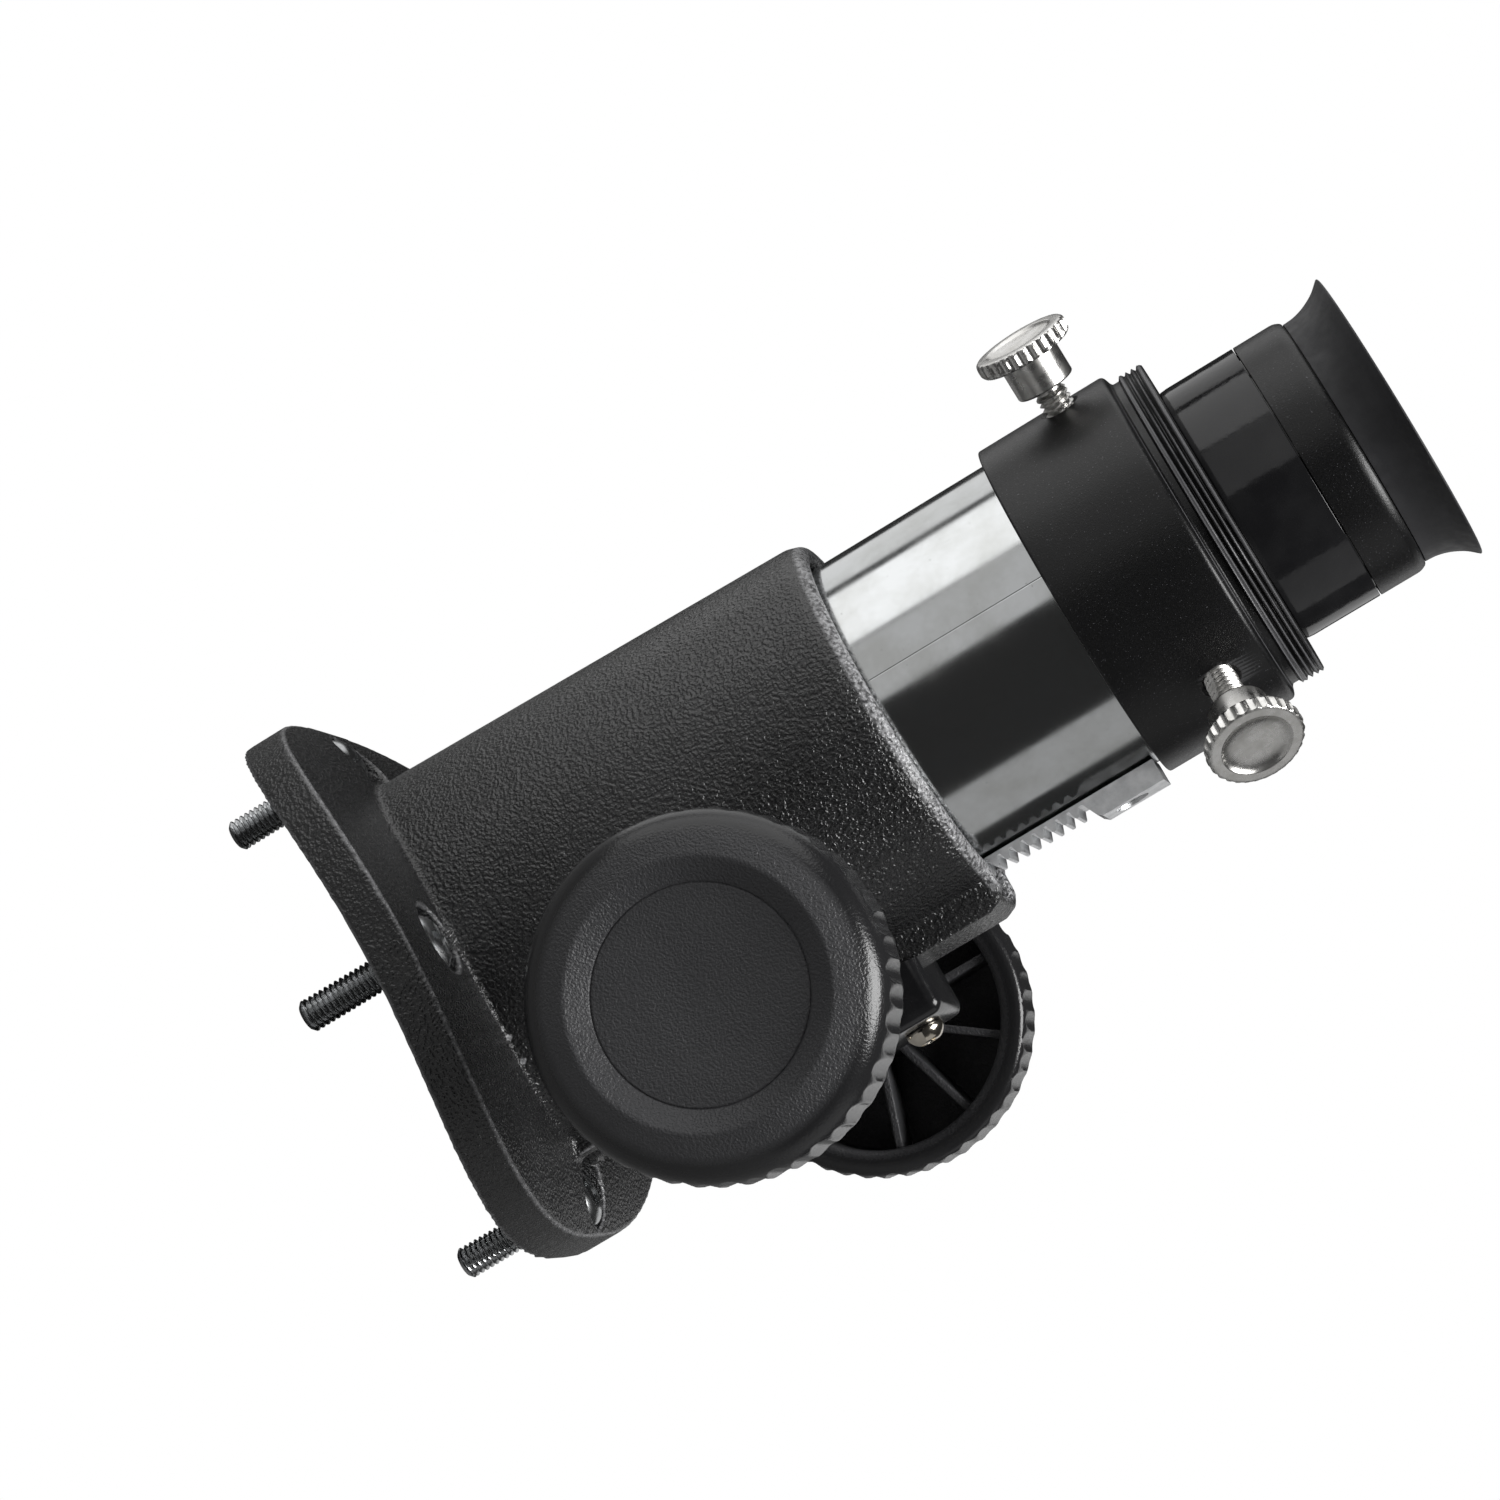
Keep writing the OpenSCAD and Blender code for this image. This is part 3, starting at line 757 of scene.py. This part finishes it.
def build_rack():
    """A milled rack with a flat back, so a thin gap shows beside the drawtube."""
    half, columns, back = RACK_HIGH.x, 8, -TUBE_R - 0.02
    outline = rack_outline()
    made = bmesh.new()
    sheets = []
    for i in range(columns + 1):
        x = half * (2 * i / columns - 1)
        front = [made.verts.new((x, y, z)) for y, z in outline]
        rear = [made.verts.new((x, back, z)) for y, z in outline]
        sheets.append((front, rear))
    for (front, rear), (next_front, next_rear) in zip(sheets, sheets[1:]):
        for k in range(len(outline) - 1):
            made.faces.new((front[k], front[k + 1], next_front[k + 1], next_front[k]))
            made.faces.new((rear[k], next_rear[k], next_rear[k + 1], rear[k + 1]))
        for k in (0, -1):
            made.faces.new((front[k], next_front[k], next_rear[k], rear[k]))
    for front, rear in (sheets[0], sheets[-1]):
        for k in range(len(outline) - 1):
            made.faces.new((front[k], rear[k], rear[k + 1], front[k + 1]))
    screw_low, screw_high = span("rack_screws")
    screws = [(RACK_TIP_Y, screw_low.z + RACK_SCREW_R), (RACK_LOW.y, screw_high.z - RACK_SCREW_R)]
    for y, z in screws:
        made = carved(made, moved(rod(1.85, -0.9, 0.3, 48, 2.25), facing_minus_y(y, z)))
    add_piece("rack_part", made, LOOKS["rack_zinc"], "drawtube", ("rack",), sharp=28)
    heads = []
    for y, z in screws:
        recess = moved(cross(1.0, 0.5), Matrix.Translation((0, 0, -0.35)))
        heads.append(moved(carved(rod(1.75, -1.0, -0.35, 48), recess), facing_minus_y(y, z, 0.5)))
    add_piece("rack_screw_pair", joined(*heads), LOOKS["zinc_steel"], "drawtube",
              ("rack_screws",))


THUMB_LEVEL = (span("thumbscrew_upper")[0].z + span("thumbscrew_upper")[1].z) / 2
# For each thumbscrew, its direction about the drawtube's axis, in degrees, and how far it is
# backed out, in millimetres.
THUMBS = {"thumbscrew_upper": (115, 0.0), "thumbscrew_lower": (235, 2.0)}


def thumb_place(node, out=0.0):
    """A place on the drawtube's axis with Z along a thumbscrew."""
    return (Matrix.Rotation(math.radians(THUMBS[node][0]), 4, "Z")
            @ Matrix.Translation((out, 0, THUMB_LEVEL)) @ Matrix.Rotation(math.pi / 2, 4, "Y"))


def build_holder():
    """The eyepiece holder: blasted outside, an undercut and the camera thread at its end."""
    low, top = HOLDER_LOW.z, HOLDER_HIGH.z
    socket, step = BARREL_HIGH.x + 0.07, TUBE_HIGH.z
    thread, thread_r, groove_r = top - 3.0, CAMERA_THREAD_R, 20.5
    edge = thread - 1.3
    pitch = 0.75
    outline = [(TUBE_R + 0.03, low, 0.15), (HOLDER_R, low, 0.35), (HOLDER_R, edge - 0.35, 0.55),
               (groove_r + 0.2, edge + 0.1, 0.2), (groove_r, edge + 0.3, 0.1),
               (groove_r, thread - 0.25, 0), (thread_r, thread + 0.05, 0),
               (thread_r, top - 0.25, 0), (thread_r - 0.3, top, 0.05), (socket + 0.5, top, 0.1),
               (socket, top - 0.5, 0.1), (socket, step, 0), (TUBE_R + 0.03, step, 0)]
    points = divided(rounded(outline, closed=True), pitch / 9,
                     lambda p: abs(p.x - thread_r) < 0.001)
    points = divided(points, 4.0, lambda p: p.x > HOLDER_R - 0.01)
    made = turned(points, 240, helix(thread_r, 0.45, pitch, thread, top - 0.1))
    for node in THUMBS:
        made = carved(made, moved(rod(2.02, 14, 26, 48), thumb_place(node)))
        mouth = rod(1.9, HOLDER_R - 0.7, HOLDER_R + 0.3, 48, 2.75)
        made = carved(made, moved(mouth, thumb_place(node)))
    add_piece("eyepiece_holder_part", made, LOOKS["black_anodised"], "drawtube",
              ("eyepiece_holder",), sharp=30)


def thumb_mesh():
    """A thumbscrew along Z, measured from the drawtube's axis."""
    reach, collar, head, top = BARREL_HIGH.x + 0.05, 25.0, 29.3, 31.4
    head_r, collar_r, thread_r, pitch, flutes = 5.9, 3.6, 1.95, 0.7, 30
    dish_r, dish_depth = 4.15, 0.88
    dish = [(dish_r * math.cos(a), top - dish_depth * math.sin(a), 0)
            for a in [math.pi / 2 * k / 12 for k in range(1, 12)]]
    outline = [(0, reach, 0), (1.5, reach, 0.1), (thread_r, reach + 0.45, 0.05),
               (thread_r, collar - 1.0, 0), (1.6, collar - 0.7, 0.1), (1.6, collar, 0.1),
               (collar_r, collar, 0.35), (collar_r, head - 0.1, 0.12), (head_r, head, 0.95),
               (head_r, top, 0.75), (dish_r + 0.12, top, 0.1), *dish, (0, top - dish_depth, 0)]
    points = divided(rounded(outline, segments=7), pitch / 8,
                     lambda p: abs(p.x - thread_r) < 0.001)
    points = divided(points, 0.3, lambda p: p.x > head_r - 0.01)
    thread = helix(thread_r, 0.4, pitch, reach + 0.2, collar - 0.9)
    rim = fluted(flutes, 0.75, lambda index: head_r - 0.34)

    def shape(angle, radius, height):
        return rim(angle, radius, height) if radius > 4.9 else thread(angle, radius, height)

    return turned(points, flutes * 10, shape)


def build_thumbscrews():
    for node, (angle, out) in THUMBS.items():
        add_piece(node + "_part", thumb_mesh(), LOOKS["thumb_nickel"], node, (node,),
                  thumb_place(node, out), sharp=30)


# ---------------------------------------------------------------- eyepiece

def build_eyepiece():
    barrel_r, low, top = BARREL_HIGH.x, BARREL_LOW.z, BARREL_HIGH.z
    filter_r, bore, neck = 14.25, 13.4, 14.6
    seat = HOLDER_HIGH.z
    pitch = 0.6
    outline = [(filter_r, low + 0.3, 0.1), (filter_r + 0.3, low, 0.1), (barrel_r, low, 0.35),
               (barrel_r, seat, 0), (neck, seat, 0), (neck, top, 0), (bore, top, 0),
               (bore, low + 5, 0.1), (filter_r, low + 5, 0)]
    points = divided(rounded(outline, closed=True), pitch / 7,
                     lambda p: abs(p.x - filter_r) < 0.001)

    def inner_thread(angle, radius, height):
        if abs(radius - filter_r) > 0.01 or not low + 0.4 < height < low + 4.5:
            return radius
        phase = (height / pitch - angle / TURN) % 1
        return radius - 0.26 * abs(2 * phase - 1)

    add_piece("eyepiece_barrel_part", turned(points, 192, inner_thread), LOOKS["barrel_chrome"],
              "eyepiece", ("eyepiece_barrel",), sharp=35)

    eye_r = BODY_HIGH.x
    gloss_top = RING_LOW.z - 0.15
    outline = [(neck, seat, 0), (eye_r - 0.1, seat, 0.25), (eye_r, seat + 1.0, 0),
               (eye_r, gloss_top, 0.12), (eye_r - 1.2, gloss_top, 0), (eye_r - 1.2, BODY_HIGH.z, 0),
               (7, BODY_HIGH.z, 0), (7, seat + 3.9, 0), (neck, seat + 3.9, 0)]
    add_piece("eyepiece_body_part", turned(rounded(outline, closed=True), 224),
              LOOKS["gloss_black"], "eyepiece", ("eyepiece_body",), sharp=35)

    ring_top = RING_HIGH.z
    outline = [(eye_r - 1.2, RING_LOW.z, 0), (eye_r, RING_LOW.z, 0.15), (eye_r, ring_top - 0.9, 0.5),
               (eye_r - 0.45, ring_top, 0.35), (eye_r - 1.2, ring_top, 0)]
    add_piece("eyepiece_top_ring_part", turned(rounded(outline, closed=True), 224),
              LOOKS["black_anodised"], "eyepiece", ("eyepiece_top_ring",),
              sharp=35)


def build_eyecup():
    """A flared rubber bowl: a concave skirt, a thin rolled lip and a smooth inside."""
    lip_r, lip, base = CUP_HIGH.x, CUP_HIGH.z, CUP_LOW.z
    ring_top, eye_r = RING_HIGH.z, RING_HIGH.x
    skirt = curved([(eye_r - 0.72, ring_top + 0.12), (eye_r - 0.62, ring_top + 1.5),
                    (eye_r - 0.2, ring_top + 3.0), (eye_r + 0.62, ring_top + 4.6),
                    (lip_r - 0.12, lip - 0.35), (lip_r, lip - 0.16), (lip_r - 0.1, lip - 0.02),
                    (lip_r - 0.42, lip), (lip_r - 0.8, lip - 0.3), (lip_r - 2.1, ring_top + 4.1),
                    (lip_r - 3.2, ring_top + 2.0), (lip_r - 5.0, ring_top + 0.7),
                    (lip_r - 8.5, ring_top - 0.15), (6.2, ring_top - 0.55)])
    points = [Vector((6, ring_top - 0.75)), Vector((6, base + 0.1)), Vector((6.1, base)),
              Vector((eye_r - 1.25, base)), Vector((eye_r - 1.25, ring_top + 0.1)), *skirt]
    add_piece("eyecup_part", turned(points, 224), LOOKS["cup_rubber"], "eyepiece", ("eyecup",),
              sharp=50)


def dress_cad_nodes():
    """CAD nodes whose shape is right keep it and get a finished material."""
    for node, slot in (("guide_shims", "nylon"), ("pinion_saddle", "nylon"),
                       ("pinion_shaft", "shaft_steel"), ("field_stop", "flat_black"),
                       ("lens_spacer", "flat_black"), ("lens_retainer", "flat_black"),
                       ("field_lens", "coated_glass"), ("eye_lens", "coated_glass")):
        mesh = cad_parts[node].data
        mesh.materials.clear()
        mesh.materials.append(LOOKS[slot])


# ---------------------------------------------------------------- camera, floor and light

def add_camera():
    """The camera looks at the left knob; it is rolled, so that the drawtube points up and right."""
    eye = Vector((-0.45986, -0.08546, 0.10961))
    ahead = Vector((0.9709, 0.19299, -0.14183))
    up = Vector((-0.09489, 0.8537, 0.51205))
    right = ahead.cross(up).normalized()
    up = right.cross(ahead).normalized()
    data = bpy.data.cameras.new("camera")
    data.sensor_width = 36
    data.lens = 94.67
    data.clip_start = 0.01
    camera = bpy.data.objects.new("camera", data)
    turn = Matrix((right, up, -ahead)).transposed().to_4x4()
    camera.matrix_world = Matrix.Translation(eye) @ turn
    bpy.context.scene.collection.objects.link(camera)
    bpy.context.scene.camera = camera


def white_to_the_eye(tree, lit, ground):
    """A shader that is plain white where it is looked at, and gives light of its own kind."""
    white = tree.nodes.new("ShaderNodeEmission" if ground else "ShaderNodeBackground")
    white.inputs[0].default_value = (1, 1, 1, 1)
    mix = tree.nodes.new("ShaderNodeMixShader")
    tree.links.new(tree.nodes.new("ShaderNodeLightPath").outputs["Is Camera Ray"], mix.inputs[0])
    tree.links.new(lit.outputs[0], mix.inputs[1])
    tree.links.new(white.outputs[0], mix.inputs[2])
    tree.links.new(mix.outputs[0], tree.nodes[ground or "World Output"].inputs["Surface"])


def add_floor():
    """A plain pale floor under the mounting screws."""
    radius, gap = 0.32, 0.004
    made = bmesh.new()
    bmesh.ops.create_circle(made, cap_ends=True, segments=96, radius=radius)
    mesh = bpy.data.meshes.new("floor")
    made.to_mesh(mesh)
    made.free()
    floor = bpy.data.objects.new("floor", mesh)
    floor.location = (0, 0, cad_box[0].z - gap)
    bpy.context.scene.collection.objects.link(floor)
    look = Look("floor", (0.2, 0.2, 0.2), 0.8)
    white_to_the_eye(look.tree, look.shader, "Material Output")
    mesh.materials.append(look.material)


def add_world():
    world = bpy.data.worlds.new("studio")
    world.use_nodes = True
    bpy.context.scene.world = world
    lit = world.node_tree.nodes["Background"]
    lit.inputs[0].default_value = (1, 1, 1, 1)
    lit.inputs[1].default_value = 0.025
    white_to_the_eye(world.node_tree, lit, None)


def add_panel(name, direction, distance, width, height, radiance):
    """A soft light panel that faces the middle of the object."""
    centre = (cad_box[0] + cad_box[1]) / 2
    towards = Vector(direction).normalized()
    data = bpy.data.lights.new(name, "AREA")
    data.shape = "RECTANGLE"
    data.size, data.size_y = width, height
    data.energy = radiance * math.pi * width * height
    light = bpy.data.objects.new(name, data)
    light.location = centre + towards * distance
    light.rotation_mode = "QUATERNION"
    light.rotation_quaternion = (-towards).to_track_quat("-Z", "Y")
    light.visible_camera = False
    bpy.context.scene.collection.objects.link(light)


def add_lights():
    add_panel("key", (-0.31, 0.95, 0.30), 0.62, 0.56, 1.0, 1.25)
    add_panel("key_back", (0.49, 0.87, 0.15), 0.62, 0.40, 0.9, 0.8)
    add_panel("front_card", (-0.90, 0.44, 0.05), 0.80, 0.62, 0.9, 0.5)
    add_panel("right_card", (-0.30, -0.45, 0.84), 0.62, 0.36, 0.36, 11.0)
    add_panel("under_card", (0.10, -0.98, -0.10), 0.65, 0.50, 0.6, 0.35)
    add_panel("back_card", (0.94, -0.34, -0.12), 0.75, 0.36, 0.9, 0.6)


bpy.context.scene.view_settings.view_transform = "Standard"
add_camera()
add_world()
add_floor()
add_lights()
build_housing()
build_cover()
build_screws()
build_knobs()
build_drawtube()
build_rack()
build_holder()
build_thumbscrews()
build_eyepiece()
build_eyecup()
dress_cad_nodes()
